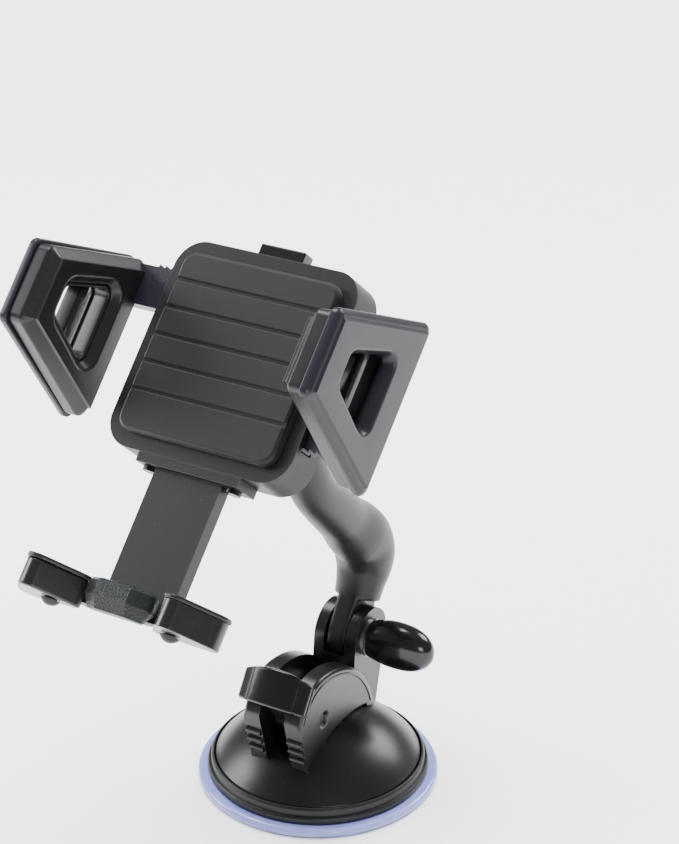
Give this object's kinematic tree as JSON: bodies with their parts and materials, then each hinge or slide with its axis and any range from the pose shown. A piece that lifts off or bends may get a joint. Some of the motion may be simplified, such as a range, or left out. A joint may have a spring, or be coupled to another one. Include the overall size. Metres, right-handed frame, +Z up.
{
  "type": "car phone mount",
  "caption": "Dashboard phone mount with a gel suction base, lock lever, hinged elbow arm, ball joint and a cradle with geared side jaws and swivel feet.",
  "frame": {"origin": "centre of the gel pad underside, on the surface that the mount is stuck to", "axes": "+Z up, away from that surface; -Y towards the user, the way the lock lever points; +X to the user right, the side of the wing knob"},
  "size_m": [0.1016, 0.1349, 0.1757],
  "materials": {
    "gel": "translucent tinted gel",
    "ring_black": "satin moulded elastomer",
    "dome_black": "satin moulded plastic",
    "inner_plastic": "natural acetal",
    "steel": "zinc plated",
    "spring_steel": "drawn wire",
    "lever_black": "satin moulded plastic",
    "gloss_black": "polished moulded plastic",
    "arm_black": "satin moulded plastic",
    "ball_grey": "fine textured plastic",
    "collar_black": "satin moulded plastic",
    "case_black": "satin moulded plastic",
    "screw_black": "black oxide",
    "pad_rubber": "matte rubber",
    "jaw_black": "satin moulded plastic",
    "jaw_rubber": "satin rubber",
    "foot_black": "satin moulded plastic",
    "foot_rubber": "matte rubber",
    "leather_rubber": "leather grain rubber"
  },
  "bodies": {
    "base": {"gel_pad": "gel", "cup_ring": "ring_black", "dome_cover": "dome_black", "tower": "dome_black", "tower_screws": "steel", "lever_pin": "steel", "hinge_nut": "steel", "hinge_washer": "steel", "stem_spring": "spring_steel"},
    "stem": {"pull_stem": "inner_plastic", "stem_crosspin": "steel"},
    "lever": {"lock_lever": "lever_black", "lever_tab": "gloss_black"},
    "knob": {"wing_knob": "gloss_black", "hinge_bolt": "steel"},
    "arm": {"arm": "arm_black", "ball_stud": "ball_grey"},
    "liner": {"ball_liner": "inner_plastic"},
    "seat": {"seat_ring": "inner_plastic"},
    "collar": {"lock_nut": "collar_black"},
    "cradle": {"rear_cover": "case_black", "front_cover": "case_black", "case_screws": "screw_black", "back_pad": "pad_rubber", "pinion_axle": "steel", "opening_spring": "spring_steel", "release_springs": "spring_steel", "bottom_bracket": "case_black", "bracket_screws": "screw_black", "centre_pad": "leather_rubber", "foot_screws": "screw_black"},
    "pinion": {"pinion": "inner_plastic"},
    "right_jaw": {"right_rack_arm": "case_black", "right_jaw_shell": "jaw_black", "right_jaw_pad": "jaw_rubber", "right_jaw_screws": "screw_black"},
    "left_jaw": {"left_rack_arm": "case_black", "left_jaw_shell": "jaw_black", "left_jaw_pad": "jaw_rubber", "left_jaw_screws": "screw_black"},
    "release": {"pawl_frame": "inner_plastic", "release_button": "case_black"},
    "left_foot": {"left_foot": "foot_black", "left_foot_pad": "foot_rubber"},
    "right_foot": {"right_foot": "foot_black", "right_foot_pad": "foot_rubber"}
  },
  "joints": [
    {"name": "lever_lock", "type": "hinge", "parent": "base", "child": "lever", "pos_m": [0, -0.0118, 0.026], "axis": [1, 0, 0], "range_deg": [0, 20]},
    {"name": "stem_pull", "type": "slide", "parent": "base", "child": "stem", "axis": [0, 0, 1], "range_m": [0, 0.0043], "deforming": ["stem_spring"]},
    {"name": "arm_tilt", "type": "hinge", "parent": "base", "child": "arm", "pos_m": [0, 0.0173, 0.036], "axis": [1, 0, 0], "range_deg": [-50, 30]},
    {"name": "knob_turn", "type": "hinge", "parent": "base", "child": "knob", "pos_m": [0, 0.0173, 0.036], "axis": [1, 0, 0], "range_deg": [-90, 180]},
    {"name": "cradle_tilt", "type": "hinge", "parent": "arm", "child": "liner", "pos_m": [0, -0.022, 0.1304], "axis": [1, 0, 0], "range_deg": [-45, 8]},
    {"name": "cradle_swing", "type": "hinge", "parent": "liner", "child": "seat", "pos_m": [0, -0.022, 0.1304], "axis": [0, -0.7019, -0.7123], "range_deg": [-19, 5]},
    {"name": "cradle_spin", "type": "hinge", "parent": "seat", "child": "cradle", "pos_m": [0, -0.022, 0.1304], "axis": [-0.1202, -0.7071, 0.6968], "continuous": true},
    {"name": "lock_nut_turn", "type": "hinge", "parent": "cradle", "child": "collar", "pos_m": [0, -0.022, 0.1304], "axis": [-0.1202, -0.7071, 0.6968], "range_deg": [0, 90]},
    {"name": "right_jaw_slide", "type": "slide", "parent": "cradle", "child": "right_jaw", "axis": [0.9926, -0.0961, 0.0737], "range_m": [-0.0085, 0.009]},
    {"name": "left_jaw_slide", "type": "slide", "parent": "cradle", "child": "left_jaw", "axis": [-0.9926, 0.0961, -0.0737], "range_m": [-0.0085, 0.009]},
    {"name": "pinion_spin", "type": "hinge", "parent": "cradle", "child": "pinion", "pos_m": [-0.00188, -0.03303, 0.14127], "axis": [-0.1202, -0.7071, 0.6968], "range_deg": [-90, 95]},
    {"name": "release_press", "type": "slide", "parent": "cradle", "child": "release", "axis": [-0.0148, -0.7005, -0.7135], "range_m": [0, 0.0018], "stiffness_N_per_m": 600, "deforming": ["release_springs"]},
    {"name": "left_foot_turn", "type": "hinge", "parent": "cradle", "child": "left_foot", "pos_m": [-0.02285, -0.08776, 0.09733], "axis": [0.0148, 0.7005, 0.7135], "range_deg": [-22, 8]},
    {"name": "right_foot_turn", "type": "hinge", "parent": "cradle", "child": "right_foot", "pos_m": [0.01447, -0.09137, 0.1001], "axis": [0.0148, 0.7005, 0.7135], "range_deg": [-8, 22]}
  ],
  "couplings": [
    {"joint": "stem_pull", "follows": "lever_lock", "m_per_rad": 0.01203},
    {"joint": "left_jaw_slide", "follows": "right_jaw_slide", "ratio": 1},
    {"joint": "pinion_spin", "follows": "right_jaw_slide", "rad_per_m": 166.67}
  ]
}
